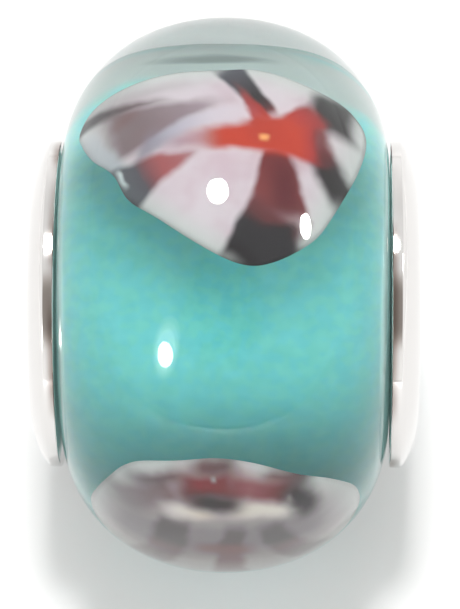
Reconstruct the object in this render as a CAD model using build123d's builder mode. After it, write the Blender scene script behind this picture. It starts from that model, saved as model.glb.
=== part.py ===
from build123d import *
import math
import os

# A glass charm bead with a large hole, in millimetres. The hole runs along X, +Z is up and the
# origin is the middle of the hole. The bead lies on its crown, as a barrel does on its side.

# Glass body: a barrel with a narrow level band at the crown and round shoulders
glass_diameter = 14.0
crown_band = 0.8
shoulder_radius = 3.69
# The glass was wound by hand, so its axis lies a little above the hole's
glass_lift = 0.38
# Depth of the slight flat under the crown, where the hot glass was paddled and the bead now rests
rest_flat_depth = 0.06

# Teal core inside the clear casing
core_crown_radius = 4.3
core_end_radius = 3.8
core_width = 6.8

# Metal eyelets: sleeve in the hole, domed flange on the glass's side
bore_radius = 2.5
sleeve_wall = 0.3
flange_radius = 4.12
flange_height = 0.76
lip_radius = 0.35
rim_thickness = 0.3
rim_round = 0.13

# Flowers, a layer of coloured glass under a thin clear skin
clear_skin = 0.16
petal_thickness = 0.28
flower_side_margin = 0.77
flower_half_length = 2.7
flower_wrap = 62.0
heart_radius = 0.6
arm_half_width = 0.82

# Clearances between pieces
piece_gap = 0.03
sleeve_gap = 0.05

# Edges of flowers seen from above, as shares of the half width and half length: one comes to a
# point, the other is full like a shell
pointed_edge = [
    {"across": -1.00, "along": 0.64},
    {"across": -0.88, "along": 0.84},
    {"across": -0.49, "along": 0.94},
    {"across": -0.03, "along": 0.95},
    {"across": 0.26, "along": 0.97},
    {"across": 0.64, "along": 0.86},
    {"across": 0.90, "along": 0.76},
    {"across": 1.00, "along": 0.54},
    {"across": 0.94, "along": 0.06},
    {"across": 0.77, "along": -0.48},
    {"across": 0.62, "along": -0.76},
    {"across": 0.37, "along": -0.97},
    {"across": 0.14, "along": -1.00},
    {"across": -0.18, "along": -0.82},
    {"across": -0.47, "along": -0.56},
    {"across": -0.65, "along": -0.36},
    {"across": -0.76, "along": -0.07},
    {"across": -0.90, "along": 0.17},
    {"across": -0.98, "along": 0.42},
]
shell_edge = [
    {"across": -0.97, "along": -0.22},
    {"across": -0.92, "along": 0.12},
    {"across": -0.83, "along": 0.42},
    {"across": -0.71, "along": 0.68},
    {"across": -0.54, "along": 0.84},
    {"across": -0.22, "along": 0.95},
    {"across": 0.01, "along": 0.97},
    {"across": 0.26, "along": 0.91},
    {"across": 0.51, "along": 0.74},
    {"across": 0.78, "along": 0.47},
    {"across": 0.95, "along": 0.12},
    {"across": 1.00, "along": -0.26},
    {"across": 0.96, "along": -0.58},
    {"across": 0.82, "along": -0.84},
    {"across": 0.48, "along": -0.98},
    {"across": 0.05, "along": -1.00},
    {"across": -0.42, "along": -0.97},
    {"across": -0.76, "along": -0.84},
    {"across": -0.93, "along": -0.57},
]

# Arms of a star, going round from the right: half widths at the heart and at the flower's edge, as
# shares of the widest
star_arms = [
    {"root": 0.40, "tip": 0.61},
    {"root": 0.37, "tip": 0.40},
    {"root": 0.24, "tip": 0.73},
    {"root": 0.34, "tip": 0.67},
    {"root": 0.43, "tip": 1.00},
    {"root": 0.32, "tip": 0.37},
]

# Flowers, each laid by hand: place round the glass in degrees from the front over the top, the edge
# and its scale, less than nothing where it is turned over, the heart's place as shares of the
# flower's own half sizes, and the arms' directions
flowers = [
    {
        "name": "flower_1",
        "place": 83.9,
        "edge": pointed_edge,
        "edge_scale": (1.0, 1.0),
        "heart": (0.30, 0.145),
        "arm_turns": (36.0, 114.0, 161.0, 196.0, 269.0, 334.0),
    },
    {
        "name": "flower_2",
        "place": -5.5,
        "edge": shell_edge,
        "edge_scale": (0.96, 1.06),
        "heart": (-0.06, 0.69),
        "arm_turns": (-21.0, 80.0, 184.0, 218.0, 262.0, 308.0),
    },
    {
        "name": "flower_3",
        "place": 176.0,
        "edge": pointed_edge,
        "edge_scale": (-0.96, 0.92),
        "heart": (-0.20, 0.05),
        "arm_turns": (22.0, 84.0, 147.0, 203.0, 262.0, 320.0),
    },
    {
        "name": "flower_4",
        "place": 268.0,
        "edge": shell_edge,
        "edge_scale": (-0.95, -0.95),
        "heart": (0.10, -0.12),
        "arm_turns": (-10.0, 46.0, 108.0, 168.0, 228.0, 290.0),
    },
]

# Sizes that follow from the ones above
glass_radius = glass_diameter / 2
half_band = crown_band / 2
shoulder_centre = glass_radius - shoulder_radius
glass_half_width = half_band + shoulder_radius
sleeve_radius = bore_radius + sleeve_wall
glass_hole_radius = sleeve_radius + piece_gap
flange_seat = glass_half_width + piece_gap
flange_top = glass_half_width + flange_height
flower_half_width = glass_half_width - flower_side_margin

glass_axis = Axis((0, 0, glass_lift), (1, 0, 0))
glass_section = Plane(origin=(0, 0, glass_lift), x_dir=(1, 0, 0), z_dir=(0, -1, 0))


def core_barrel(clearance):
    """Barrel of the core, grown by a clearance and still without its hole."""
    half_width = core_width / 2 + clearance
    end_radius = core_end_radius + clearance
    crown_radius = core_crown_radius + clearance
    with BuildPart() as barrel:
        with BuildSketch(Plane.XZ):
            with BuildLine():
                Line((half_width, end_radius), (half_width, 0))
                Line((half_width, 0), (-half_width, 0))
                Line((-half_width, 0), (-half_width, end_radius))
                ThreePointArc((-half_width, end_radius), (0, crown_radius), (half_width, end_radius))
            make_face()
        revolve(axis=Axis.X)
    return barrel.part


def flower_layer(near_depth, far_depth, wrap):
    """Ring between two depths under the glass's surface, over the crown and down each shoulder."""
    near_radius = shoulder_radius - near_depth
    far_radius = shoulder_radius - far_depth
    right_centre = (half_band, shoulder_centre)
    left_centre = (-half_band, shoulder_centre)
    with BuildPart() as ring:
        with BuildSketch(glass_section):
            with BuildLine():
                near_left = CenterArc(left_centre, near_radius, 90, wrap)
                far_left = CenterArc(left_centre, far_radius, 90, wrap)
                near_right = CenterArc(right_centre, near_radius, 90, -wrap)
                far_right = CenterArc(right_centre, far_radius, 90, -wrap)
                Line(near_left @ 0, near_right @ 0)
                Line(far_left @ 0, far_right @ 0)
                Line(near_left @ 1, far_left @ 1)
                Line(near_right @ 1, far_right @ 1)
            make_face()
        revolve(axis=glass_axis)
    return ring.part


def flower_plane(flower):
    """Plane through the glass's axis that faces the flower: X along the hole, Z outwards."""
    place = math.radians(flower["place"])
    outwards = (0, -math.cos(place), math.sin(place))
    return Plane(origin=(0, 0, glass_lift), x_dir=(1, 0, 0), z_dir=outwards)


def half_sizes(flower):
    """Half width and half length of a flower."""
    scale_across, scale_along = flower["edge_scale"]
    return abs(scale_across) * flower_half_width, abs(scale_along) * flower_half_length


def heart_place(flower):
    """Middle of the flower's heart on the flower's plane."""
    half_width, half_length = half_sizes(flower)
    across, along = flower["heart"]
    return across * half_width, along * half_length


def edge_sketch(flower, growth):
    """Outline of a flower on its plane, grown by a margin."""
    half_width, half_length = half_sizes(flower)
    scale_across, scale_along = flower["edge_scale"]
    points = []
    for row in flower["edge"]:
        across = row["across"] * math.copysign(half_width + growth, scale_across)
        along = row["along"] * math.copysign(half_length + growth, scale_along)
        points.append((across, along))
    with BuildSketch() as outline:
        with BuildLine():
            Spline(*points, periodic=True)
        make_face()
    return outline.sketch


def star_sketch(flower, growth):
    """Heart and tapering arms that run out past the flower's edge, grown by a margin."""
    heart = heart_place(flower)
    half_width, half_length = half_sizes(flower)
    reach = 2 * half_width
    edge_distance = (half_width + half_length) / 2
    size_share = (half_width + half_length) / (flower_half_width + flower_half_length)
    widest = arm_half_width * size_share
    with BuildSketch() as star:
        with Locations(heart):
            Circle(heart_radius * size_share + growth)
        for arm, turn in zip(star_arms, flower["arm_turns"]):
            root = arm["root"] * widest + growth
            tip = root + (arm["tip"] - arm["root"]) * widest * reach / edge_distance
            with Locations(Location(heart, turn)):
                Polygon((0, -root), (reach, -tip), (reach, tip), (0, root), align=None)
    return star.sketch


def turn_round_heart(petal, flower):
    """Direction of a petal from its flower's heart, in degrees."""
    middle = flower_plane(flower).to_local_coords(petal.center())
    heart_across, heart_along = heart_place(flower)
    return math.degrees(math.atan2(middle.Y - heart_along, middle.X - heart_across)) % 360


os.makedirs("parts", exist_ok=True)

# Teal core
with BuildPart() as teal_core:
    add(core_barrel(0))
    with BuildSketch(Plane.YZ):
        Circle(glass_hole_radius)
    extrude(amount=glass_half_width, both=True, mode=Mode.SUBTRACT)
teal_core.part.label = "teal_core"
export_step(teal_core.part, "parts/teal_core.step")

# Flowers, each a star and the petals between its arms, and the pockets that they lie in
coloured_layer = flower_layer(clear_skin, clear_skin + petal_thickness, flower_wrap)
pocket_wrap = flower_wrap + math.degrees(piece_gap / (shoulder_radius - clear_skin - petal_thickness))
pocket_layer = flower_layer(clear_skin - piece_gap, clear_skin + petal_thickness + piece_gap, pocket_wrap)
pockets = []
for flower in flowers:
    plane = flower_plane(flower)
    star_outline = star_sketch(flower, 0)
    flower_outline = edge_sketch(flower, 0)

    with BuildPart() as star:
        with BuildSketch(plane):
            add(star_outline)
            add(flower_outline, mode=Mode.INTERSECT)
        extrude(amount=glass_radius)
        add(coloured_layer, mode=Mode.INTERSECT)
    star.part.label = flower["name"] + "_star"
    export_step(star.part, "parts/" + star.part.label + ".step")

    with BuildPart() as petals:
        with BuildSketch(plane):
            add(flower_outline)
            add(star_sketch(flower, piece_gap), mode=Mode.SUBTRACT)
        extrude(amount=glass_radius)
        add(coloured_layer, mode=Mode.INTERSECT)

    in_turn = sorted(petals.part.solids(), key=lambda solid: turn_round_heart(solid, flower))
    for number, solid in enumerate(in_turn, start=1):
        with BuildPart() as petal:
            add(solid)
        petal.part.label = flower["name"] + "_petal_" + str(number)
        export_step(petal.part, "parts/" + petal.part.label + ".step")

    with BuildPart() as pocket:
        with BuildSketch(plane):
            add(edge_sketch(flower, piece_gap))
        extrude(amount=glass_radius)
        add(pocket_layer, mode=Mode.INTERSECT)
    pockets.append(pocket.part)

# Clear casing, open for the core, the flowers and the sleeves
with BuildPart() as clear_casing:
    with BuildSketch(glass_section):
        with BuildLine():
            Line((-glass_half_width, 0), (glass_half_width, 0))
            Line((glass_half_width, 0), (glass_half_width, shoulder_centre))
            CenterArc((half_band, shoulder_centre), shoulder_radius, 0, 90)
            Line((half_band, glass_radius), (-half_band, glass_radius))
            CenterArc((-half_band, shoulder_centre), shoulder_radius, 90, 90)
            Line((-glass_half_width, shoulder_centre), (-glass_half_width, 0))
        make_face()
    revolve(axis=glass_axis)
    add(core_barrel(piece_gap), mode=Mode.SUBTRACT)
    with BuildSketch(Plane.YZ):
        Circle(glass_hole_radius)
    extrude(amount=glass_half_width, both=True, mode=Mode.SUBTRACT)
    for pocket in pockets:
        add(pocket, mode=Mode.SUBTRACT)
    split(bisect_by=Plane.XY.offset(glass_lift - glass_radius + rest_flat_depth), keep=Keep.TOP)
clear_casing.part.label = "clear_casing"
export_step(clear_casing.part, "parts/clear_casing.step")

# Eyelets, the left one the mirror image of the right one
with BuildPart() as right_eyelet:
    with BuildSketch(Plane.XZ):
        with BuildLine():
            Line((sleeve_gap / 2, sleeve_radius), (sleeve_gap / 2, bore_radius))
            Line((sleeve_gap / 2, bore_radius), (flange_top - lip_radius, bore_radius))
            CenterArc((flange_top - lip_radius, bore_radius + lip_radius), lip_radius, -90, 90)
            TangentArc(
                (flange_top, bore_radius + lip_radius),
                (flange_seat + rim_thickness, flange_radius),
                tangent=(0, 1),
            )
            Line((flange_seat + rim_thickness, flange_radius), (flange_seat, flange_radius))
            Line((flange_seat, flange_radius), (flange_seat, sleeve_radius))
            Line((flange_seat, sleeve_radius), (sleeve_gap / 2, sleeve_radius))
        make_face()
    revolve(axis=Axis.X)
    rim_edges = right_eyelet.edges().filter_by(GeomType.CIRCLE).sort_by(SortBy.RADIUS)[-2:]
    fillet(rim_edges, radius=rim_round)
right_eyelet.part.label = "right_eyelet"
export_step(right_eyelet.part, "parts/right_eyelet.step")

with BuildPart() as left_eyelet:
    add(mirror(right_eyelet.part, about=Plane.YZ, mode=Mode.PRIVATE))
left_eyelet.part.label = "left_eyelet"
export_step(left_eyelet.part, "parts/left_eyelet.step")
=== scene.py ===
import math

import bpy
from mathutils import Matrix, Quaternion, Vector


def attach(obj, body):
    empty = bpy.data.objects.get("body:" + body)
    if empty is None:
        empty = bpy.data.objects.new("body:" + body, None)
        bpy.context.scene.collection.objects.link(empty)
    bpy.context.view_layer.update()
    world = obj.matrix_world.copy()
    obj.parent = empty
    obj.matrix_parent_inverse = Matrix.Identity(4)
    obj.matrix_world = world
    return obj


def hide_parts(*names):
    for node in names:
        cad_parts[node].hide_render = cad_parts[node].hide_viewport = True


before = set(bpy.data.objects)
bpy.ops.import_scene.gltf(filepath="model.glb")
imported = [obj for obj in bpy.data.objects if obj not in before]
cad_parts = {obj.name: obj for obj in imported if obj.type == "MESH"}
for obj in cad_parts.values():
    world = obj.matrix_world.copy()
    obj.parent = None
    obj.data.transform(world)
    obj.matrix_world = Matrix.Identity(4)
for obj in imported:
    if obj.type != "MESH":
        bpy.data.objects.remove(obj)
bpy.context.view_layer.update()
print("frame loaded")

mm = 0.001

# The round of the glass, its axis a little above the hole's
glass = {
    "radius": 7.0,
    "halfBand": 0.4,
    "shoulder": 3.69,
    "lift": 0.38,
    "hole": 2.83,
    "floor": -6.56,
}
shoulderCentre = glass["radius"] - glass["shoulder"]
glassHalfWidth = glass["halfBand"] + glass["shoulder"]


# Helpers for node trees
def addNode(tree, kind, settings=None, links=None):
    node = tree.nodes.new(kind)
    for key, value in (settings or {}).items():
        setattr(node, key, value)
    for key, value in (links or {}).items():
        if isinstance(value, bpy.types.NodeSocket):
            tree.links.new(value, node.inputs[key])
        else:
            node.inputs[key].default_value = value
    return node


def maths(tree, operation, a, b=None, c=None, clamp=False):
    links = {0: a}
    if b is not None:
        links[1] = b
    if c is not None:
        links[2] = c
    settings = {"operation": operation, "use_clamp": clamp}
    return addNode(tree, "ShaderNodeMath", settings, links).outputs[0]


def vectorMaths(tree, operation, links):
    return addNode(tree, "ShaderNodeVectorMath", {"operation": operation}, links).outputs


def split(tree, vector):
    return addNode(tree, "ShaderNodeSeparateXYZ", links={0: vector}).outputs


def combine(tree, x, y, z=0.0):
    return addNode(tree, "ShaderNodeCombineXYZ", links={0: x, 1: y, 2: z}).outputs[0]


def noise(tree, place, scale, detail):
    links = {"Vector": place, "Scale": scale, "Detail": detail}
    return addNode(tree, "ShaderNodeTexNoise", links=links).outputs


def mixColour(tree, factor, a, b):
    settings = {"data_type": "RGBA", "blend_type": "MIX"}
    return addNode(tree, "ShaderNodeMix", settings, {0: factor, 6: a, 7: b}).outputs[2]


# Smooth step of a value from low to high
def soften(tree, value, start, end, low=0.0, high=1.0):
    settings = {"interpolation_type": "SMOOTHSTEP"}
    links = {0: value, 1: start, 2: end, 3: low, 4: high}
    return addNode(tree, "ShaderNodeMapRange", settings, links).outputs[0]


def newTree(name, kind, inputs, outputs):
    tree = bpy.data.node_groups.new(name, kind)
    for label, socket in inputs:
        tree.interface.new_socket(label, in_out="INPUT", socket_type="NodeSocket" + socket)
    for label, socket in outputs:
        tree.interface.new_socket(label, in_out="OUTPUT", socket_type="NodeSocket" + socket)
    return tree


# The tree's result becomes the object's plain mesh
def bakeDown(obj, tree, values):
    modifier = obj.modifiers.new("shape", "NODES")
    modifier.node_group = tree
    for item in tree.interface.items_tree:
        if item.item_type == "SOCKET" and item.in_out == "INPUT" and item.name in values:
            modifier[item.identifier] = values[item.name]
    graph = bpy.context.evaluated_depsgraph_get()
    made = bpy.data.meshes.new_from_object(obj.evaluated_get(graph), depsgraph=graph)
    obj.modifiers.clear()
    obj.data = made
    made.name = obj.name


# Last nodes of a shape: smooth shading, real meshes and the material
def finishTree(tree, geometry, material):
    smooth = addNode(tree, "GeometryNodeSetShadeSmooth", links={0: geometry})
    real = addNode(tree, "GeometryNodeRealizeInstances", links={0: smooth.outputs[0]})
    links = {"Geometry": real.outputs[0], "Material": material}
    coat = addNode(tree, "GeometryNodeSetMaterial", links=links)
    leave = addNode(tree, "NodeGroupOutput")
    tree.links.new(coat.outputs[0], leave.inputs[0])


# A screen colour, 0 to 255, as the shader takes it
def linear(red, green, blue):
    made = []
    for part in (red / 255, green / 255, blue / 255):
        made.append(part / 12.92 if part <= 0.04045 else ((part + 0.055) / 1.055) ** 2.4)
    return (*made, 1.0)


def principled(name):
    material = bpy.data.materials.new(name)
    material.use_nodes = True
    return material, material.node_tree, material.node_tree.nodes["Principled BSDF"].inputs


# Helpers for shapes and places
def arcPoints(centre, radius, start, sweep, steps):
    made = []
    for i in range(steps + 1):
        angle = math.radians(start + sweep * i / steps)
        made.append((centre[0] + radius * math.cos(angle), centre[1] + radius * math.sin(angle)))
    return made


# Closed line in the ground plane, the start of a lathed piece or of a flower
def polyline(name, points):
    mesh = bpy.data.meshes.new(name)
    count = len(points)
    edges = [(i, (i + 1) % count) for i in range(count)]
    mesh.from_pydata([(x * mm, y * mm, 0.0) for x, y in points], edges, [])
    obj = bpy.data.objects.new(name, mesh)
    bpy.context.scene.collection.objects.link(obj)
    return obj


# From the bead towards a lamp or the camera; azimuth 0 is in front, 90 at the right
def towards(azimuth, elevation):
    turned, raised = math.radians(azimuth), math.radians(elevation)
    level = math.cos(raised)
    return Vector((math.sin(turned) * level, -math.cos(turned) * level, math.sin(raised)))


# Lathe: a profile, given as (along the hole, out from it), turned round the hole
def latheTree():
    tree = newTree(
        "lathe",
        "GeometryNodeTree",
        [
            ("Profile", "Geometry"),
            ("Segments", "Int"),
            ("Lift", "Float"),
            ("Lift From", "Float"),
            ("Lift To", "Float"),
            ("Lowest", "Float"),
            ("Waviness", "Float"),
            ("Wave Scale", "Float"),
            ("Wave Stretch", "Float"),
            ("Seed", "Float"),
            ("Material", "Material"),
        ],
        [("Geometry", "Geometry")],
    )
    pick = addNode(tree, "NodeGroupInput").outputs
    profile = addNode(tree, "GeometryNodeMeshToCurve", links={0: pick["Profile"]})
    ringLinks = {"Resolution": pick["Segments"], "Radius": 1.0}
    ring = addNode(tree, "GeometryNodeCurvePrimitiveCircle", links=ringLinks)
    sweepLinks = {"Curve": ring.outputs["Curve"], "Profile Curve": profile.outputs[0]}
    swept = addNode(tree, "GeometryNodeCurveToMesh", links=sweepLinks)

    # On the unit ring the profile's first axis points outwards and its second down the ring's axis
    place = addNode(tree, "GeometryNodeInputPosition").outputs[0]
    parts = split(tree, place)
    flat = combine(tree, parts[0], parts[1])
    reach = vectorMaths(tree, "LENGTH", {0: flat})["Value"]
    across = maths(tree, "DIVIDE", parts[0], reach)
    upwards = maths(tree, "DIVIDE", parts[1], reach)
    radius = maths(tree, "SUBTRACT", reach, 1.0)
    shareLinks = {0: radius, 1: pick["Lift From"], 2: pick["Lift To"]}
    share = addNode(tree, "ShaderNodeMapRange", links=shareLinks).outputs[0]

    # Slight waves of a hand-wound piece, only ever inwards
    along = maths(tree, "MULTIPLY", parts[2], pick["Wave Stretch"])
    spot = combine(tree, across, upwards, along)
    waveLinks = {"Vector": spot, "W": pick["Seed"], "Scale": pick["Wave Scale"], "Detail": 1.0}
    wave = addNode(tree, "ShaderNodeTexNoise", {"noise_dimensions": "4D"}, waveLinks).outputs[0]
    sunk = maths(tree, "MULTIPLY", maths(tree, "MULTIPLY", wave, pick["Waviness"]), share)
    radius = maths(tree, "SUBTRACT", radius, sunk)

    height = maths(tree, "MULTIPLY", radius, upwards)
    height = maths(tree, "ADD", height, maths(tree, "MULTIPLY", share, pick["Lift"]))
    height = maths(tree, "MAXIMUM", height, pick["Lowest"])
    sideways = maths(tree, "MULTIPLY", radius, across)
    put = combine(tree, parts[2], maths(tree, "MULTIPLY", sideways, -1.0), height)
    movedLinks = {"Geometry": swept.outputs[0], "Position": put}
    moved = addNode(tree, "GeometryNodeSetPosition", links=movedLinks)
    finishTree(tree, moved.outputs[0], pick["Material"])
    return tree


lathe = latheTree()
plainTurning = {
    "lift": 0.0,
    "liftFrom": 0.0,
    "liftTo": 1.0,
    "lowest": -9.0,
    "waviness": 0.0,
    "waveScale": 1.0,
    "waveStretch": 150.0,
    "seed": 0.0,
}


# The profile is turned round so that the faces look outwards
def turn(name, cadNode, profile, material, segments, changes=None):
    obj = polyline(name, [(out, -along) for along, out in reversed(profile)])
    settings = {**plainTurning, **(changes or {})}
    values = {
        "Segments": segments,
        "Lift": settings["lift"] * mm,
        "Lift From": settings["liftFrom"] * mm,
        "Lift To": settings["liftTo"] * mm,
        "Lowest": settings["lowest"] * mm,
        "Waviness": settings["waviness"] * mm,
        "Wave Scale": settings["waveScale"],
        "Wave Stretch": settings["waveStretch"],
        "Seed": settings["seed"],
        "Material": material,
    }
    bakeDown(obj, lathe, values)
    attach(obj, "root")
    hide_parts(cadNode)


# A stroke of coloured glass on a flower: how far a spot lies along it, and how much it covers there
def strokeTree():
    tree = newTree(
        "stroke",
        "ShaderNodeTree",
        [
            ("Spot", "Vector"),
            ("Start", "Vector"),
            ("Turn", "Float"),
            ("Length", "Float"),
            ("Start Width", "Float"),
            ("End Width", "Float"),
            ("Bend", "Float"),
            ("Edge", "Float"),
            ("Start Fade", "Float"),
            ("End Fade", "Float"),
        ],
        [("Along", "Float"), ("Cover", "Float")],
    )
    pick = addNode(tree, "NodeGroupInput").outputs
    local = vectorMaths(tree, "SUBTRACT", {0: pick["Spot"], 1: pick["Start"]})[0]
    turnedBack = maths(tree, "MULTIPLY", pick["Turn"], -1.0)
    turnLinks = {"Vector": local, "Angle": turnedBack}
    turned = addNode(tree, "ShaderNodeVectorRotate", {"rotation_type": "Z_AXIS"}, turnLinks)
    parts = split(tree, turned.outputs[0])
    along = maths(tree, "DIVIDE", parts[0], pick["Length"])
    held = maths(tree, "MULTIPLY", along, 1.0, clamp=True)
    rising = maths(tree, "MULTIPLY", held, 4.0)
    bulge = maths(tree, "MULTIPLY", rising, maths(tree, "SUBTRACT", 1.0, held))
    side = maths(tree, "SUBTRACT", parts[1], maths(tree, "MULTIPLY", bulge, pick["Bend"]))
    widthLinks = {0: held, 3: pick["Start Width"], 4: pick["End Width"]}
    width = addNode(tree, "ShaderNodeMapRange", links=widthLinks).outputs[0]
    far = maths(tree, "ABSOLUTE", side)
    inner = maths(tree, "SUBTRACT", width, pick["Edge"])
    outer = maths(tree, "ADD", width, pick["Edge"])
    beside = soften(tree, far, inner, outer, 1.0, 0.0)
    before = maths(tree, "MULTIPLY", pick["Start Fade"], -1.0)
    begin = soften(tree, parts[0], before, pick["Start Fade"])
    beyond = maths(tree, "SUBTRACT", parts[0], pick["Length"])
    before = maths(tree, "MULTIPLY", pick["End Fade"], -1.0)
    end = soften(tree, beyond, before, pick["End Fade"], 1.0, 0.0)
    cover = maths(tree, "MULTIPLY", maths(tree, "MULTIPLY", beside, begin), end)
    leave = addNode(tree, "NodeGroupOutput")
    tree.links.new(along, leave.inputs["Along"])
    tree.links.new(cover, leave.inputs["Cover"])
    return tree


strokeGroup = strokeTree()

# White glass of the petals, under the strokes
ground = {
    "white": linear(205, 198, 203),
    "pink": linear(196, 180, 188),
    "cloudScale": 0.9,
    "cloudSpread": (0.35, 0.7),
    "rim": linear(196, 200, 198),
    "rimSpread": (0.72, 1.0),
    "wanderScale": 1.3,
    "wander": 0.15,
    "roughness": 0.55,
}

orange = (178, 60, 40)
red = (160, 50, 46)
maroon = (92, 34, 40)
brown = (120, 58, 58)
black = (42, 41, 44)
slate = (66, 68, 76)
# Tone of the painted glints on the flowers' hearts
paintedGlintTone = (232, 176, 110)


# A stroke, in millimetres on the flower's own plane: its two ends and the half widths there, the
# softness of its edge and of its ends, how much it covers, and its tones by share of the way
def streak(start, end, halfWidths, edge, tones, bend=0.0, fade=(0.3, 0.3), cover=1.0):
    return {
        "start": Vector(start),
        "end": Vector(end),
        "halfWidths": halfWidths,
        "edge": edge,
        "tones": [(share, linear(*tone)) for share, tone in tones.items()],
        "bend": bend,
        "fade": fade,
        "cover": cover,
    }


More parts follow.
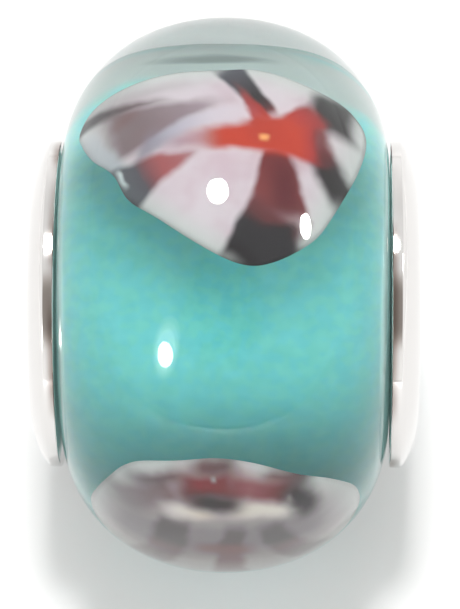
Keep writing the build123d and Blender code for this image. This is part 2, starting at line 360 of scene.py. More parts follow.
# Later strokes lie over earlier ones
flowerStrokes = {
    "flower_1": [
        # Gray washes and dark veins of the left petals
        streak(
            (-0.60, 2.10), (-3.30, 1.95), (0.10, 0.34), edge=0.26, fade=(0.5, 0.4), cover=0.55,
            tones={0.0: (176, 172, 174), 1.0: (150, 146, 148)},
        ),
        streak(
            (-0.05, 1.46), (-2.75, 0.88), (0.08, 0.84),
            edge=0.20, bend=0.10, fade=(0.5, 0.4), cover=0.88,
            tones={0.0: (160, 146, 154), 0.35: (126, 110, 116), 0.75: (108, 90, 92),
                   1.0: (98, 84, 86)},
        ),
        streak(
            (-1.40, 1.64), (-3.50, 1.78), (0.05, 0.25), edge=0.15, fade=(0.6, 0.3), cover=0.95,
            tones={0.0: (118, 108, 112), 0.4: (84, 68, 70), 0.75: (48, 44, 48), 1.0: (60, 62, 68)},
        ),
        streak(
            (-2.05, 1.36), (-2.55, 1.22), (0.16, 0.20), edge=0.22, cover=0.6,
            tones={0.0: (120, 80, 82), 1.0: (116, 82, 82)},
        ),
        streak(
            (-3.40, 1.25), (-2.45, -0.35), (0.28, 0.26), edge=0.15, bend=0.04, cover=0.9,
            tones={0.0: (190, 194, 198), 1.0: (168, 176, 182)},
        ),
        streak(
            (-1.55, 0.60), (-1.90, -0.10), (0.22, 0.16), edge=0.18, cover=0.7,
            tones={0.0: (132, 128, 140), 1.0: (112, 112, 124)},
        ),
        # Pale ribbon over them, and the heart's colour running out into it
        streak(
            (0.90, 1.18), (-1.70, 0.20), (0.26, 0.18), edge=0.14, bend=-0.22, cover=0.95,
            tones={0.0: (208, 200, 206), 0.4: (200, 196, 204), 0.75: (172, 172, 184),
                   1.0: (138, 138, 150)},
        ),
        streak(
            (0.05, 0.42), (-1.30, 0.26), (0.26, 0.16), edge=0.20, fade=(0.3, 0.4), cover=0.85,
            tones={0.0: (176, 96, 90), 0.35: (170, 128, 132), 1.0: (162, 148, 158)},
        ),
        # Left lower arm, with a painted glint at its edge
        streak(
            (-0.60, -0.02), (-2.48, -0.84), (0.02, 0.78),
            edge=0.14, bend=-0.03, fade=(0.2, 0.3), cover=0.94,
            tones={0.0: (150, 110, 114), 0.2: (150, 82, 84), 0.42: (152, 72, 72),
                   0.56: (116, 60, 64), 0.68: slate, 0.85: (74, 78, 84), 1.0: (120, 130, 134)},
        ),
        streak(
            (-2.44, -0.20), (-2.24, -0.64), (0.05, 0.05), edge=0.05, fade=(0.12, 0.12), cover=0.8,
            tones={0.0: (216, 228, 228), 1.0: (200, 214, 214)},
        ),
        # Lower arm with its black tip
        streak(
            (1.30, 0.15), (1.40, -1.60), (0.25, 0.76), edge=0.12, fade=(0.2, 0.3),
            tones={0.0: (140, 40, 34), 0.2: (110, 46, 48), 0.7: brown, 1.0: (108, 56, 58)},
        ),
        streak(
            (1.38, -1.45), (0.56, -2.85), (0.72, 0.64), edge=0.13, fade=(0.25, 0.3),
            tones={0.0: (108, 56, 58), 0.22: (92, 50, 52), 0.42: black, 1.0: black},
        ),
        streak(
            (0.42, -2.30), (1.86, -2.20), (0.36, 0.50), edge=0.16, fade=(0.25, 0.25),
            tones={0.0: black, 1.0: black},
        ),
        streak(
            (1.44, -0.20), (1.58, -1.40), (0.22, 0.34), edge=0.26, fade=(0.3, 0.4), cover=0.85,
            tones={0.0: maroon, 1.0: (84, 34, 42)},
        ),
        # Right lower arm
        streak(
            (2.26, 0.40), (2.84, -0.82), (0.36, 0.34), edge=0.18, bend=0.05, fade=(0.2, 0.3),
            tones={0.0: (124, 40, 42), 0.2: (76, 32, 36), 0.38: (34, 31, 33), 1.0: (34, 33, 35)},
        ),
        # Upper arm
        streak(
            (1.16, 1.12), (0.04, 2.68), (0.24, 0.33), edge=0.10, fade=(0.2, 0.3),
            tones={0.0: (120, 50, 48), 0.16: (70, 46, 50), 0.32: black, 0.8: slate,
                   1.0: (84, 86, 94)},
        ),
        streak(
            (1.00, 0.80), (0.40, 1.95), (0.26, 0.05), edge=0.09, fade=(0.2, 0.4), cover=0.95,
            tones={0.0: orange, 0.35: red, 1.0: (130, 62, 62)},
        ),
        # Upper right arm
        streak(
            (2.64, 2.28), (2.62, 0.96), (0.44, 0.53), edge=0.22, bend=-0.04, fade=(0.32, 0.26),
            tones={0.0: (76, 80, 80), 0.3: (44, 46, 47), 0.7: (32, 31, 33), 1.0: (44, 42, 45)},
        ),
        streak(
            (1.54, 0.60), (2.28, 1.44), (0.42, 0.36), edge=0.13, fade=(0.2, 0.18),
            tones={0.0: orange, 0.65: red, 1.0: (132, 42, 42)},
        ),
        # Heart, with a painted glint on it
        streak(
            (-0.32, 0.37), (2.42, 0.46), (0.26, 0.54), edge=0.15, fade=(0.26, 0.26),
            tones={0.0: (170, 84, 72), 0.14: orange, 0.78: orange, 0.9: red, 1.0: maroon},
        ),
        streak(
            (2.34, 1.00), (2.46, 0.10), (0.15, 0.20), edge=0.17, fade=(0.25, 0.25), cover=0.85,
            tones={0.0: (118, 38, 38), 1.0: (86, 32, 36)},
        ),
        streak(
            (0.62, 0.55), (1.75, 0.72), (0.36, 0.42), edge=0.16, fade=(0.22, 0.22),
            tones={0.0: (170, 58, 42), 1.0: orange},
        ),
        streak(
            (0.92, 0.42), (1.12, 0.40), (0.07, 0.07), edge=0.07, fade=(0.08, 0.08), cover=0.9,
            tones={0.0: paintedGlintTone, 1.0: paintedGlintTone},
        ),
    ],
    "flower_2": [
        # Painted shade: a gray band over the lower half, lighter towards the bottom, with three faint
        # arms in shaded gray tones and a pink patch in it
        streak(
            (-0.10, 1.10), (0.00, -3.20), (2.50, 3.40), edge=0.60, fade=(0.4, 0.3), cover=0.86,
            tones={0.0: (190, 184, 182), 0.16: (138, 134, 136), 0.34: (122, 118, 120),
                   0.46: (142, 135, 135), 0.58: (186, 184, 181), 1.0: (200, 201, 198)},
        ),
        streak(
            (-1.10, 0.78), (-1.95, -2.40), (0.40, 0.46),
            edge=0.15, bend=0.12, fade=(0.3, 0.5), cover=0.85,
            tones={0.0: (98, 92, 94), 0.3: (80, 73, 76), 0.5: (112, 86, 89), 0.7: (140, 126, 129),
                   1.0: (158, 152, 154)},
        ),
        streak(
            (0.34, 0.56), (0.18, -2.80), (0.24, 0.44),
            edge=0.14, bend=-0.10, fade=(0.3, 0.5), cover=0.85,
            tones={0.0: (104, 98, 100), 0.3: (90, 74, 77), 0.5: (124, 86, 89),
                   0.7: (144, 122, 125), 1.0: (160, 152, 154)},
        ),
        streak(
            (1.12, 0.50), (2.30, -2.10), (0.28, 0.44),
            edge=0.15, bend=-0.12, fade=(0.3, 0.5), cover=0.85,
            tones={0.0: (102, 97, 99), 0.3: (82, 76, 79), 0.5: (112, 90, 92), 0.7: (142, 130, 132),
                   1.0: (158, 152, 154)},
        ),
        streak(
            (-0.65, -0.45), (0.70, -0.62), (0.28, 0.28), edge=0.24, fade=(0.4, 0.4), cover=0.85,
            tones={0.0: (122, 86, 88), 1.0: (126, 84, 86)},
        ),
        # Left arm
        streak(
            (-1.15, 1.95), (-2.70, 0.80), (0.40, 0.46),
            edge=0.30, bend=0.14, fade=(0.3, 0.5), cover=0.85,
            tones={0.0: (110, 72, 76), 0.35: (116, 98, 102), 1.0: (138, 136, 138)},
        ),
        streak(
            (-0.90, 2.42), (-2.20, 1.78), (0.15, 0.20),
            edge=0.22, bend=0.05, fade=(0.3, 0.45), cover=0.85,
            tones={0.0: (84, 44, 48), 0.5: (96, 76, 82), 1.0: (112, 106, 112)},
        ),
        # Cream petals below the heart, pale ones above it
        streak(
            (-1.30, 1.12), (-0.25, 1.10), (0.27, 0.22), edge=0.24, fade=(0.35, 0.3),
            tones={0.0: (236, 234, 230), 1.0: (228, 218, 204)},
        ),
        streak(
            (0.30, 1.30), (1.65, 0.98), (0.29, 0.25), edge=0.24, bend=0.04, fade=(0.3, 0.35),
            tones={0.0: (232, 228, 218), 1.0: (230, 228, 220)},
        ),
        streak(
            (-1.08, 2.56), (-0.62, 2.62), (0.16, 0.16), edge=0.14, fade=(0.2, 0.2),
            tones={0.0: (196, 194, 194), 1.0: (190, 184, 186)},
        ),
        streak(
            (0.34, 2.60), (0.88, 2.52), (0.18, 0.18), edge=0.15, fade=(0.2, 0.2),
            tones={0.0: (190, 184, 186), 1.0: (196, 194, 196)},
        ),
        # Right arm with its black tip and a painted glint on it
        streak(
            (1.05, 2.36), (2.10, 1.74), (0.13, 0.18), edge=0.20, fade=(0.3, 0.35), cover=0.9,
            tones={0.0: (92, 56, 60), 1.0: (66, 54, 58)},
        ),
        streak(
            (0.12, 2.10), (1.70, 1.58), (0.38, 0.34), edge=0.25, bend=0.06,
            tones={0.0: (138, 74, 78), 0.35: (150, 90, 96), 0.7: (124, 58, 62), 1.0: (92, 42, 46)},
        ),
        streak(
            (1.58, 1.82), (2.14, 0.50), (0.26, 0.27), edge=0.24, bend=0.06, fade=(0.34, 0.34),
            tones={0.0: (66, 44, 46), 0.4: (48, 44, 48), 1.0: (56, 52, 56)},
        ),
        streak(
            (1.60, 1.52), (1.70, 1.22), (0.05, 0.05), edge=0.07, fade=(0.12, 0.12), cover=0.7,
            tones={0.0: (150, 146, 144), 1.0: (140, 136, 134)},
        ),
        # Heart, the short arm above it with a painted glint, and the black one below
        streak(
            (-1.02, 2.02), (0.36, 2.10), (0.42, 0.45), edge=0.27, fade=(0.36, 0.3),
            tones={0.0: (108, 54, 58), 0.4: (134, 46, 52), 1.0: (120, 54, 58)},
        ),
        streak(
            (-0.66, 2.62), (0.32, 2.62), (0.18, 0.17), edge=0.17, fade=(0.26, 0.26), cover=0.9,
            tones={0.0: maroon, 1.0: (76, 40, 44)},
        ),
        streak(
            (-0.20, 2.40), (-0.18, 2.22), (0.06, 0.06), edge=0.06, fade=(0.1, 0.1), cover=0.8,
            tones={0.0: (176, 186, 184), 1.0: (150, 140, 142)},
        ),
        streak(
            (-0.84, 1.62), (0.44, 1.42), (0.28, 0.30), edge=0.26, bend=-0.03, fade=(0.38, 0.34),
            tones={0.0: (76, 50, 48), 0.4: (46, 40, 42), 0.75: (54, 44, 46), 1.0: (64, 46, 46)},
        ),
    ],
}

# The two flowers that the picture doesn't show: six arms from a heart, each a little different
plainFlower = {
    "armFrom": 0.3,
    "armTo": 3.9,
    "armHalf": 0.24,
    "tipHalf": 0.65,
    "tipSwing": 0.18,
    "tipStep": 2.3,
    "bend": 0.16,
    "bendStep": 1.7,
    "armEdge": 0.10,
    "armFade": (0.2, 0.3),
    "armTones": {0.0: orange, 0.2: red, 0.36: brown, 0.52: black, 1.0: black},
    "heartLeft": (-0.8, 0.0),
    "heartRight": (0.8, 0.1),
    "heartHalf": (0.40, 0.50),
    "heartEdge": 0.14,
    "heartFade": (0.25, 0.25),
    "heartTones": {0.0: red, 0.5: orange, 1.0: red},
    # Painted glint on the heart
    "paintedGlintTo": (0.1, 0.0),
    "paintedGlintHalf": 0.06,
    "paintedGlintEdge": 0.05,
    "paintedGlintCover": 0.9,
}


def plainStar(heart, angles, seed):
    look = plainFlower

    def fromHeart(step):
        return (heart[0] + step[0], heart[1] + step[1])

    made = []
    for number, angle in enumerate(angles):
        way = (math.cos(math.radians(angle)), math.sin(math.radians(angle)))
        near, far = look["armFrom"], look["armTo"]
        tip = look["tipHalf"] + look["tipSwing"] * math.sin(look["tipStep"] * number + seed)
        arm = streak(
            fromHeart((near * way[0], near * way[1])),
            fromHeart((far * way[0], far * way[1])),
            (look["armHalf"], tip),
            edge=look["armEdge"],
            tones=look["armTones"],
            bend=look["bend"] * math.sin(look["bendStep"] * number + seed),
            fade=look["armFade"],
        )
        made.append(arm)
    middle = streak(
        fromHeart(look["heartLeft"]),
        fromHeart(look["heartRight"]),
        look["heartHalf"],
        edge=look["heartEdge"],
        tones=look["heartTones"],
        fade=look["heartFade"],
    )
    # A painted glint on the heart
    half = look["paintedGlintHalf"]
    paintedGlint = streak(
        heart,
        fromHeart(look["paintedGlintTo"]),
        (half, half),
        edge=look["paintedGlintEdge"],
        tones={0.0: paintedGlintTone, 1.0: paintedGlintTone},
        fade=(half, half),
        cover=look["paintedGlintCover"],
    )
    return made + [middle, paintedGlint]


flowerStrokes["flower_3"] = plainStar((-0.64, 0.12), (22, 84, 147, 203, 262, 320), 2)
flowerStrokes["flower_4"] = plainStar((0.32, -0.31), (-10, 46, 108, 168, 228, 290), 5)


def makeFlowerGlass(name, strokes):
    material, tree, sockets = principled(name + "Glass")
    spot = addNode(tree, "ShaderNodeAttribute", {"attribute_name": "flowerSpot"}).outputs["Vector"]
    edgeShare = addNode(tree, "ShaderNodeAttribute", {"attribute_name": "edgeShare"}).outputs["Fac"]
    wander = noise(tree, spot, ground["wanderScale"], 2.0)["Color"]
    shift = vectorMaths(tree, "SUBTRACT", {0: wander, 1: (0.5, 0.5, 0.5)})[0]
    shift = vectorMaths(tree, "SCALE", {0: shift, "Scale": 2 * ground["wander"]})[0]
    moved = vectorMaths(tree, "ADD", {0: spot, 1: shift})[0]
    clouds = noise(tree, spot, ground["cloudScale"], 2.0)[0]
    pinkness = soften(tree, clouds, *ground["cloudSpread"])
    colour = mixColour(tree, pinkness, ground["white"], ground["pink"])
    colour = mixColour(tree, soften(tree, edgeShare, *ground["rimSpread"]), colour, ground["rim"])
    for row in strokes:
        way = row["end"] - row["start"]
        links = {
            "Spot": moved,
            "Start": (row["start"].x, row["start"].y, 0.0),
            "Turn": math.atan2(way.y, way.x),
            "Length": way.length,
            "Start Width": row["halfWidths"][0],
            "End Width": row["halfWidths"][1],
            "Bend": row["bend"],
            "Edge": row["edge"],
            "Start Fade": row["fade"][0],
            "End Fade": row["fade"][1],
        }
        group = addNode(tree, "ShaderNodeGroup", {"node_tree": strokeGroup}, links)
        ramp = addNode(tree, "ShaderNodeValToRGB", links={0: group.outputs["Along"]})
        stops = ramp.color_ramp.elements
        tones = row["tones"]
        stops[0].position, stops[0].color = tones[0]
        stops[1].position, stops[1].color = tones[-1]
        for share, tone in tones[1:-1]:
            stops.new(share).color = tone
        covered = maths(tree, "MULTIPLY", group.outputs["Cover"], row["cover"])
        colour = mixColour(tree, covered, colour, ramp.outputs[0])
    tree.links.new(colour, sockets["Base Color"])
    sockets["Roughness"].default_value = ground["roughness"]
    sockets["Specular IOR Level"].default_value = 0.0
    return material


# Flowers: a closed sheet of glass that follows the casing's round a little under its surface
def flowerTree():
    tree = newTree(
        "flower",
        "GeometryNodeTree",
        [
            ("Outline", "Geometry"),
            ("Rings", "Int"),
            ("Spokes", "Int"),
            ("Place", "Float"),
            ("Depth", "Float"),
            ("Thickness", "Float"),
            ("Edge Power", "Float"),
            ("Half Band", "Float"),
            ("Shoulder", "Float"),
            ("Radius", "Float"),
            ("Lift", "Float"),
            ("Weld", "Float"),
            ("Material", "Material"),
        ],
        [("Geometry", "Geometry")],
    )
    pick = addNode(tree, "NodeGroupInput").outputs
    line = addNode(tree, "GeometryNodeMeshToCurve", links={0: pick["Outline"]}).outputs[0]
    typed = addNode(
        tree, "GeometryNodeCurveSplineType", {"spline_type": "CATMULL_ROM"}, {0: line}
    ).outputs[0]

    # The grid's first way leads from one face's middle over the edge to the other's, its second round
    gridLinks = {
        "Size X": 2.0,
        "Size Y": 1.0,
        "Vertices X": pick["Rings"],
        "Vertices Y": pick["Spokes"],
    }
    grid = addNode(tree, "GeometryNodeMeshGrid", links=gridLinks).outputs["Mesh"]
    place = addNode(tree, "GeometryNodeInputPosition").outputs[0]
    parts = split(tree, place)
    around = maths(tree, "ADD", parts[1], 0.5)
    share = maths(tree, "SUBTRACT", 1.0, maths(tree, "ABSOLUTE", parts[0]))
    sampleSettings = {"mode": "FACTOR", "use_all_curves": True}
    sampleLinks = {"Curves": typed, "Factor": around}
    sampled = addNode(tree, "GeometryNodeSampleCurve", sampleSettings, sampleLinks)
    flat = vectorMaths(tree, "SCALE", {0: sampled.outputs["Position"], "Scale": share})[0]
    marks = vectorMaths(tree, "SCALE", {0: flat, "Scale": 1 / mm})[0]
    kept = grid
    for label, kind, value in (
        ("flowerSpot", "FLOAT_VECTOR", marks),
        ("edgeShare", "FLOAT", share),
    ):
        keptSettings = {"data_type": kind, "domain": "POINT"}
        keptLinks = {"Geometry": kept, "Name": label, "Value": value}
        kept = addNode(
            tree, "GeometryNodeStoreNamedAttribute", keptSettings, keptLinks
        ).outputs[0]

    # Front and back meet in a rounded edge
    power = maths(tree, "POWER", share, pick["Edge Power"])
    thick = maths(tree, "SQRT", maths(tree, "MAXIMUM", maths(tree, "SUBTRACT", 1.0, power), 0.0))
    half = maths(tree, "MULTIPLY", pick["Thickness"], 0.5)
    sideOf = maths(tree, "MULTIPLY", maths(tree, "SIGN", parts[0]), thick)
    depth = maths(tree, "MULTIPLY_ADD", sideOf, half, maths(tree, "ADD", pick["Depth"], half))

    # Radius of the casing's round at this spot, less the depth
    spots = split(tree, flat)
    beyond = maths(tree, "SUBTRACT", maths(tree, "ABSOLUTE", spots[0]), pick["Half Band"])
    beyond = maths(tree, "MAXIMUM", beyond, 0.0)
    arm = maths(tree, "SUBTRACT", pick["Shoulder"], depth)
    armSquare = maths(tree, "MULTIPLY", arm, arm)
    rise = maths(tree, "SUBTRACT", armSquare, maths(tree, "MULTIPLY", beyond, beyond))
    rise = maths(tree, "SQRT", maths(tree, "MAXIMUM", rise, 0.0))
    radius = maths(tree, "ADD", maths(tree, "SUBTRACT", pick["Radius"], pick["Shoulder"]), rise)
    radiusSquare = maths(tree, "MULTIPLY", radius, radius)
    outward = maths(tree, "SUBTRACT", radiusSquare, maths(tree, "MULTIPLY", spots[1], spots[1]))
    outward = maths(tree, "SQRT", maths(tree, "MAXIMUM", outward, 0.0))

    # Turned to its place round the hole
    sine = maths(tree, "SINE", pick["Place"])
    cosine = maths(tree, "COSINE", pick["Place"])
    upPart = maths(tree, "MULTIPLY", sine, spots[1])
    frontBack = maths(tree, "SUBTRACT", upPart, maths(tree, "MULTIPLY", cosine, outward))
    upPart = maths(tree, "MULTIPLY", cosine, spots[1])
    height = maths(tree, "ADD", upPart, maths(tree, "MULTIPLY", sine, outward))
    height = maths(tree, "ADD", height, pick["Lift"])
    put = combine(tree, spots[0], frontBack, height)
    movedLinks = {"Geometry": kept, "Position": put}
    moved = addNode(tree, "GeometryNodeSetPosition", links=movedLinks).outputs[0]
    weldLinks = {"Geometry": moved, "Distance": pick["Weld"]}
    joined = addNode(tree, "GeometryNodeMergeByDistance", links=weldLinks).outputs[0]

    # The grid comes out with its faces looking into the sheet
    outwards = addNode(tree, "GeometryNodeFlipFaces", links={0: joined}).outputs[0]
    finishTree(tree, outwards, pick["Material"])
    return tree


flowerSheet = flowerTree()
flowerSize = {
    "halfWidth": 3.32,
    "halfLength": 2.7,
    "depth": 0.17,
    "thickness": 0.26,
    "edgePower": 10.0,
    "rings": 97,
    "spokes": 241,
    "weld": 0.001,
}

# Outlines as shares of the half width and half length
pointedEdge = [
    (-1.00, 0.64), (-0.88, 0.84), (-0.49, 0.94), (-0.03, 0.95), (0.26, 0.97), (0.64, 0.86),
    (0.90, 0.76), (1.00, 0.54), (0.94, 0.06), (0.77, -0.48), (0.62, -0.76), (0.37, -0.97),
    (0.14, -1.00), (-0.18, -0.82), (-0.47, -0.56), (-0.65, -0.36), (-0.76, -0.07), (-0.90, 0.17),
    (-0.98, 0.42),
]
shellEdge = [
    (-0.97, -0.22), (-0.92, 0.12), (-0.83, 0.42), (-0.71, 0.68), (-0.54, 0.84), (-0.22, 0.95),
    (0.01, 0.97), (0.26, 0.91), (0.51, 0.74), (0.78, 0.47), (0.95, 0.12), (1.00, -0.26),
    (0.96, -0.58), (0.82, -0.84), (0.48, -0.98), (0.05, -1.00), (-0.42, -0.97), (-0.76, -0.84),
    (-0.93, -0.57),
]

# Place in degrees round the hole, 0 in front and 90 on top
flowerPlaces = {
    "flower_1": {"place": 83.9, "edge": pointedEdge, "scale": (1.0, 1.0)},
    "flower_2": {"place": -5.5, "edge": shellEdge, "scale": (0.96, 1.06)},
    "flower_3": {"place": 176.0, "edge": pointedEdge, "scale": (-0.96, 0.92)},
    "flower_4": {"place": 268.0, "edge": shellEdge, "scale": (-0.95, -0.95)},
}


def layFlower(name, settings):
    wide, long = settings["scale"]
    points = []
    for across, along in settings["edge"]:
        side = across * wide * flowerSize["halfWidth"]
        points.append((side, along * long * flowerSize["halfLength"]))
    if wide * long < 0:
        points.reverse()
    obj = polyline(name + "Sheet", points)
    values = {
        "Rings": flowerSize["rings"],
        "Spokes": flowerSize["spokes"],
        "Place": math.radians(settings["place"]),
        "Depth": flowerSize["depth"] * mm,
        "Thickness": flowerSize["thickness"] * mm,
        "Edge Power": flowerSize["edgePower"],
        "Half Band": glass["halfBand"] * mm,
        "Shoulder": glass["shoulder"] * mm,
        "Radius": glass["radius"] * mm,
        "Lift": glass["lift"] * mm,
        "Weld": flowerSize["weld"] * mm,
        "Material": makeFlowerGlass(name, flowerStrokes[name]),
    }
    bakeDown(obj, flowerSheet, values)
    cadNodes = [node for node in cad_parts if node.startswith(name + "_")]
    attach(obj, "root")
    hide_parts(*cadNodes)


for flowerName, flowerSettings in flowerPlaces.items():
    layFlower(flowerName, flowerSettings)
print("flowers laid")

# Clear casing, solid glass round the core and the flowers
casing = {
    "steps": 72,
    "flatReach": 0.35,
    "segments": 288,
    "waviness": 0.02,
    "waveScale": 1.3,
    "seed": 4.0,
    "tint": (0.975, 0.995, 0.99, 1.0),
    "ior": 1.5,
}


def makeClearGlass():
    material, tree, sockets = principled("clearGlass")
    sockets["Base Color"].default_value = casing["tint"]
    sockets["Transmission Weight"].default_value = 1.0
    sockets["IOR"].default_value = casing["ior"]
    sockets["Roughness"].default_value = 0.0
    return material


# Points from the crown to the end face, round at the shoulder and flatter at the crown
def shoulderCurve():
    step = math.pi / 2 / casing["steps"]
    angles = [(i + 0.5) * step for i in range(casing["steps"])]
    bumps = [math.exp(-((angle / casing["flatReach"]) ** 2)) for angle in angles]
    plain = sum(math.cos(angle) for angle in angles) * step
    bumpAlong = sum(bump * math.cos(angle) for angle, bump in zip(angles, bumps)) * step
    bumpOut = sum(bump * math.sin(angle) for angle, bump in zip(angles, bumps)) * step
    extra = (glassHalfWidth - glass["shoulder"]) / (bumpAlong - bumpOut)
    base = (glassHalfWidth - extra * bumpAlong) / plain
    along, out = 0.0, glass["radius"]
    points = [(along, out)]
    for angle, bump in zip(angles, bumps):
        along += (base + extra * bump) * math.cos(angle) * step
        out -= (base + extra * bump) * math.sin(angle) * step
        points.append((along, out))
    return points


def casingProfile():
    shoulder = shoulderCurve()
    points = [(glassHalfWidth, glass["hole"])]
    points += [(along, out) for along, out in reversed(shoulder)]
    points += [(-along, out) for along, out in shoulder[1:]]
    points += [(-glassHalfWidth, glass["hole"])]
    return points


casingTurning = {
    "lift": glass["lift"],
    "liftFrom": glass["hole"],
    "liftTo": shoulderCentre,
    "lowest": glass["floor"],
    "waviness": casing["waviness"],
    "waveScale": casing["waveScale"],
    "seed": casing["seed"],
}
turn(
    "casingGlass",
    "clear_casing",
    casingProfile(),
    makeClearGlass(),
    casing["segments"],
    casingTurning,
)

# Teal core
core = {"halfWidth": 3.4, "endRadius": 3.8, "crownRadius": 4.3, "steps": 40, "segments": 192}

# Angles are in degrees round the hole, 0 in front and 90 on top, and places in millimetres
tealLook = {
    "bright": linear(102, 194, 191),
    "deep": linear(84, 178, 176),
    "cloudScale": 300.0,
    "speckScale": 3200.0,
    "speckShare": 0.5,
    "grainSpread": (0.35, 0.65),
    "green": linear(108, 196, 176),
    "blue": linear(92, 188, 196),
    "tintScale": 4200.0,
    "tintSpread": (0.4, 0.6),
    "tintCover": 0.35,
    # Painted shade on the core's upper back, with a dark smudge in it
    "backShade": linear(160, 166, 163),
    "backShadeAt": 150.0,
    "backShadeReach": (18.0, 44.0),
    "backShadeDrift": 110.0,
    "backShadeCover": 0.85,
    "smudge": linear(88, 104, 102),
    "smudgeAt": (-0.2, 150.0),
    "smudgeHalf": (0.75, 4.5),
    "smudgeDrift": 0.3,
    "smudgeFade": 2.0,
    "smudgeCover": 0.75,
    # Painted shade towards the lower flower
    "lowShade": linear(58, 138, 138),
    "lowShadeAt": -20.0,
    "lowShadeReach": (30.0, 62.0),
    "lowShadeCover": 0.45,
    # Painted light: paler teal at the ends beside the eyelets
    "endLight": linear(178, 226, 222),
    "endLightFrom": (3.15, 3.4),
    "roughness": 0.6,
}


# Cover of a stripe along the hole: full to the first reach round it, gone at the second
def stripeRound(tree, around, at, reach, cover):
    away = maths(tree, "ABSOLUTE", maths(tree, "SUBTRACT", around, math.radians(at)))
    full, gone = (math.radians(angle) for angle in reach)
    return soften(tree, away, full, gone, cover, 0.0)


def makeTealGlass():
    look = tealLook
    material, tree, sockets = principled("tealGlass")
    place = addNode(tree, "ShaderNodeTexCoord").outputs["Object"]
    clouds = noise(tree, place, look["cloudScale"], 3.0)[0]
    specks = noise(tree, place, look["speckScale"], 2.0)[0]
    clouded = maths(tree, "MULTIPLY", clouds, 1 - look["speckShare"])
    grain = maths(tree, "MULTIPLY_ADD", specks, look["speckShare"], clouded)
    grain = soften(tree, grain, *look["grainSpread"])
    colour = mixColour(tree, grain, look["bright"], look["deep"])
    tints = noise(tree, place, look["tintScale"], 1.0)[0]
    tints = soften(tree, tints, *look["tintSpread"])
    tint = mixColour(tree, tints, look["green"], look["blue"])
    colour = mixColour(tree, look["tintCover"], colour, tint)

    # Painted shade: gray over the core's upper back, behind the upper flower
    parts = split(tree, place)
    around = maths(tree, "ARCTAN2", parts[2], maths(tree, "MULTIPLY", parts[1], -1.0))
    uneven = maths(tree, "SUBTRACT", clouds, 0.5)
    drift = maths(tree, "MULTIPLY", uneven, math.radians(look["backShadeDrift"]))
    drifted = maths(tree, "ADD", around, drift)
    backShade = stripeRound(tree, drifted, look["backShadeAt"], look["backShadeReach"], look["backShadeCover"])
    colour = mixColour(tree, backShade, colour, look["backShade"])

    # Dark smudge in the painted shade behind the upper flower
    aside = maths(tree, "SUBTRACT", parts[0], look["smudgeAt"][0] * mm)
    aside = maths(tree, "DIVIDE", aside, look["smudgeHalf"][0] * mm)
    above = maths(tree, "SUBTRACT", around, math.radians(look["smudgeAt"][1]))
    above = maths(tree, "MULTIPLY_ADD", drift, look["smudgeDrift"], above)
    above = maths(tree, "DIVIDE", above, math.radians(look["smudgeHalf"][1]))
    asideSquare = maths(tree, "MULTIPLY", aside, aside)
    off = maths(tree, "ADD", asideSquare, maths(tree, "MULTIPLY", above, above))
    smudge = soften(tree, off, 0.0, look["smudgeFade"], look["smudgeCover"], 0.0)
    colour = mixColour(tree, smudge, colour, look["smudge"])

    # Painted shade towards the lower flower, painted light at the paler ends
    lowShade = stripeRound(tree, around, look["lowShadeAt"], look["lowShadeReach"], look["lowShadeCover"])
    colour = mixColour(tree, lowShade, colour, look["lowShade"])
    # Painted light at the ends beside the eyelets
    inside, end = look["endLightFrom"]
    endLight = soften(tree, maths(tree, "ABSOLUTE", parts[0]), inside * mm, end * mm)
    colour = mixColour(tree, endLight, colour, look["endLight"])
    tree.links.new(colour, sockets["Base Color"])
    sockets["Roughness"].default_value = look["roughness"]
    sockets["Specular IOR Level"].default_value = 0.0
    return material


# A barrel: its crown is an arc from end to end
def coreProfile():
    bulge = core["crownRadius"] - core["endRadius"]
    bow = (core["halfWidth"] ** 2 + bulge**2) / (2 * bulge)
    half = math.degrees(math.asin(core["halfWidth"] / bow))
    points = [(core["halfWidth"], glass["hole"])]
    points += arcPoints((0, core["crownRadius"] - bow), bow, 90 - half, 2 * half, core["steps"])
    points += [(-core["halfWidth"], glass["hole"])]
    return points


turn("tealCoreGlass", "teal_core", coreProfile(), makeTealGlass(), core["segments"])
print("glass turned")

# Eyelets
eyelet = {
    "bore": 2.5,
    "sleeve": 2.8,
    "inner": 0.025,
    "seat": 4.12,
    "top": 4.85,
    "flange": 4.12,
    "lip": 0.35,
    "lipSteps": 20,
    "rim": 0.3,
    "domeShort": 3.0,
    "domeSteps": 28,
    "soft": 0.05,
    "rimSlope": 50.0,
    "rimSteps": (6, 10),
    "segments": 256,
}

silverLook = {
    "bright": (0.70, 0.69, 0.68, 1.0),
    "wearScale": 700.0,
    "wearSpread": (0.3, 0.7),
    "roughness": (0.03, 0.14),
    # Painted dark reflection in the corner by the glass
    "darkReflection": (0.34, 0.29, 0.265, 1.0),
    "starts": (4.12, 4.15),
    "reach": (4.16, 4.36),
    "patchScale": 420.0,
    "patchSpread": (0.42, 0.62),
}


def makeSilver():
    look = silverLook
    material, tree, sockets = principled("polishedSilver")
    place = addNode(tree, "ShaderNodeTexCoord").outputs["Object"]
    wear = noise(tree, place, look["wearScale"], 4.0)[0]
    rough = soften(tree, wear, *look["wearSpread"], *look["roughness"])
    tree.links.new(rough, sockets["Roughness"])

    # Painted dark reflection: brownish streaks in the corner between flange and glass
    far = maths(tree, "ABSOLUTE", split(tree, place)[0])
    start, full = (size * mm for size in look["starts"])
    end, gone = (size * mm for size in look["reach"])
    near = soften(tree, far, end, gone, 1.0, 0.0)
    near = maths(tree, "MULTIPLY", near, soften(tree, far, start, full))
    patches = noise(tree, place, look["patchScale"], 1.0)[0]
    cover = maths(tree, "MULTIPLY", near, soften(tree, patches, *look["patchSpread"]))
    colour = mixColour(tree, cover, look["bright"], look["darkReflection"])
    tree.links.new(colour, sockets["Base Color"])
    sockets["Metallic"].default_value = 1.0
    return material


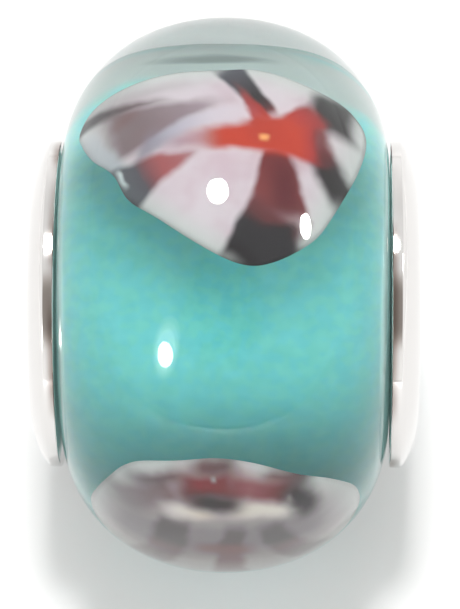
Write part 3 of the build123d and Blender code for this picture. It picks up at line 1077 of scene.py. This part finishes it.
# Sleeve, rounded lip at the hole, domed flange with a soft rim, flat seat on the glass's side
def eyeletProfile():
    top, lip, seat, soft = eyelet["top"], eyelet["lip"], eyelet["seat"], eyelet["soft"]
    start = (top, eyelet["bore"] + lip)
    end = (seat + eyelet["rim"], eyelet["flange"])

    # The dome leaves the lip straight outwards and ends just short of the rim
    across, out = start[0] - end[0], end[1] - start[1]
    bow = (across**2 + out**2) / (2 * across)
    sweep = math.degrees(math.asin(out / bow)) - eyelet["domeShort"]
    points = [(eyelet["inner"], eyelet["sleeve"]), (eyelet["inner"], eyelet["bore"])]
    points += arcPoints((top - lip, start[1]), lip, -90, 90, eyelet["lipSteps"])
    points += arcPoints((top - bow, start[1]), bow, 0, sweep, eyelet["domeSteps"])[1:]

    # The rim goes on from the dome's slope and turns in to the seat
    slope, (outSteps, inSteps) = eyelet["rimSlope"], eyelet["rimSteps"]
    points += arcPoints((end[0] - soft, end[1] - soft), soft, slope, 90 - slope, outSteps)
    points += arcPoints((seat + soft, end[1] - soft), soft, 90, 90, inSteps)
    points += [(seat, eyelet["sleeve"])]
    return points


silver = makeSilver()
for sideName, side in (("right", 1), ("left", -1)):
    sidePoints = [(along * side, out) for along, out in eyeletProfile()]
    if side == -1:
        sidePoints.reverse()
    turn(sideName + "EyeletMetal", sideName + "_eyelet", sidePoints, silver, eyelet["segments"])
print("eyelets turned")

# Floor of pale paper, paler far away so that it has no horizon
paper = {
    "reach": 800.0,
    "near": (0.76, 0.76, 0.76, 1.0),
    "far": (0.96, 0.96, 0.96, 1.0),
    "from": 25.0,
    "to": 160.0,
    "roughness": 0.7,
    "gloss": 0.1,
}


def makePaper():
    material, tree, sockets = principled("palePaper")
    place = addNode(tree, "ShaderNodeTexCoord").outputs["Object"]
    away = vectorMaths(tree, "LENGTH", {0: place})["Value"]
    share = soften(tree, away, paper["from"] * mm, paper["to"] * mm)
    tree.links.new(mixColour(tree, share, paper["near"], paper["far"]), sockets["Base Color"])
    sockets["Roughness"].default_value = paper["roughness"]
    sockets["Specular IOR Level"].default_value = paper["gloss"]
    return material


def layPaper():
    reach, height = paper["reach"] * mm, glass["floor"] * mm
    corners = []
    for x, y in ((-1, -1), (1, -1), (1, 1), (-1, 1)):
        corners.append((x * reach, y * reach, height))
    mesh = bpy.data.meshes.new("floor")
    mesh.from_pydata(corners, [], [(0, 1, 2, 3)])
    mesh.materials.append(makePaper())
    floor = bpy.data.objects.new("floor", mesh)
    bpy.context.scene.collection.objects.link(floor)


layPaper()

# Soft room light, with a dim brownish patch behind the viewer that the metal mirrors
sky = {
    "level": 1.24,
    "above": 0.95,
    "heights": (0.1, 0.85),
    "tint": (1.0, 0.99, 0.98, 1.0),
    "dim": 0.36,
    "dimTint": (1.0, 0.90, 0.82, 1.0),
    "dimElevation": 50.0,
    "dimReach": (30.0, 10.0),
}


def makeRoom():
    world = bpy.data.worlds.new("studio")
    bpy.context.scene.world = world
    world.use_nodes = True
    tree = world.node_tree
    direction = addNode(tree, "ShaderNodeTexCoord").outputs["Generated"]
    height = split(tree, direction)[2]
    strength = soften(tree, height, *sky["heights"], sky["level"], sky["above"])
    patchLinks = {0: direction, 1: towards(0.0, sky["dimElevation"])}
    facing = vectorMaths(tree, "DOT_PRODUCT", patchLinks)["Value"]
    outer, inner = (math.cos(math.radians(angle)) for angle in sky["dimReach"])
    dim = soften(tree, facing, outer, inner)
    strengthLinks = {0: dim, 2: strength, 3: sky["dim"]}
    strength = addNode(tree, "ShaderNodeMix", links=strengthLinks).outputs[0]
    background = tree.nodes["Background"]
    tint = mixColour(tree, dim, sky["tint"], sky["dimTint"])
    tree.links.new(tint, background.inputs["Color"])
    tree.links.new(strength, background.inputs["Strength"])


makeRoom()

# Lamps that light the glass's inside or the paper show no highlight; the others show nothing else
lamps = {
    "glassFill": {
        "azimuth": 180.0, "elevation": 87.0, "distance": 320.0, "size": (330, 330),
        "power": 0.46, "lights": "glass",
    },
    "paperTop": {
        "azimuth": 180.0, "elevation": 87.0, "distance": 320.0, "size": (60, 60),
        "power": 0.62, "lights": "paper",
    },
    "paperFront": {
        "azimuth": 0.0, "elevation": 16.0, "distance": 260.0, "size": (160, 90),
        "power": 0.34, "lights": "paper",
    },
    "lampTop": {
        "azimuth": -157.0, "elevation": 83.4, "distance": 220.0, "size": (40, 42), "power": 0.38,
    },
    "lampRight": {
        "azimuth": 91.0, "elevation": 42.2, "distance": 220.0, "size": (36, 32), "power": 0.23,
    },
    "lampLeft": {
        "azimuth": -33.8, "elevation": 23.4, "distance": 220.0, "size": (34, 38), "power": 0.11,
    },
    "glowLeftInner": {
        "azimuth": -34.2, "elevation": 25.0, "distance": 220.0, "size": (44, 66), "power": 0.012,
    },
    "glowLeftMiddle": {
        "azimuth": -34.2, "elevation": 25.6, "distance": 220.0, "size": (52, 84), "power": 0.012,
    },
    "glowLeftOuter": {
        "azimuth": -34.2, "elevation": 26.2, "distance": 220.0, "size": (60, 102), "power": 0.012,
    },
}


def hangLamp(name, row):
    data = bpy.data.lights.new(name, "AREA")
    data.shape = "ELLIPSE"
    data.size, data.size_y = row["size"][0] * mm, row["size"][1] * mm
    data.energy = row["power"]
    lamp = bpy.data.objects.new(name, data)
    bpy.context.scene.collection.objects.link(lamp)
    away = towards(row["azimuth"], row["elevation"])
    lamp.location = away * row["distance"] * mm
    lamp.rotation_mode = "QUATERNION"
    lamp.rotation_quaternion = away.to_track_quat("Z", "Y")
    lamp.visible_diffuse = row.get("lights") == "paper"
    lamp.visible_transmission = row.get("lights") == "glass"
    lamp.visible_glossy = "lights" not in row
    lamp.visible_camera = False


for lampName, lampRow in lamps.items():
    hangLamp(lampName, lampRow)
print("lights set")

# Camera
view = {
    "azimuth": 2.0,
    "elevation": 54.0,
    "roll": 1.45,
    "distance": 105.0,
    "frameHeight": 15.35,
    "lookRight": 0.10,
    "lookUp": -0.24,
    "sensor": 36.0,
    "clip": (0.01, 10.0),
}


def placeCamera():
    back = towards(view["azimuth"], view["elevation"])
    data = bpy.data.cameras.new("camera")
    camera = bpy.data.objects.new("camera", data)
    bpy.context.scene.collection.objects.link(camera)
    facing = back.to_track_quat("Z", "Y")
    rightwards, upwards = facing @ Vector((1, 0, 0)), facing @ Vector((0, 1, 0))
    target = Vector((0, 0, glass["lift"]))
    target = target + rightwards * view["lookRight"] + upwards * view["lookUp"]
    camera.location = (target + back * view["distance"]) * mm
    camera.rotation_mode = "QUATERNION"
    camera.rotation_quaternion = Quaternion(back, math.radians(-view["roll"])) @ facing
    data.sensor_width = view["sensor"]
    data.lens = view["sensor"] * view["distance"] / view["frameHeight"]
    data.clip_start, data.clip_end = view["clip"]
    bpy.context.scene.camera = camera
    bpy.context.scene.view_settings.view_transform = "Standard"


placeCamera()
print("camera set")
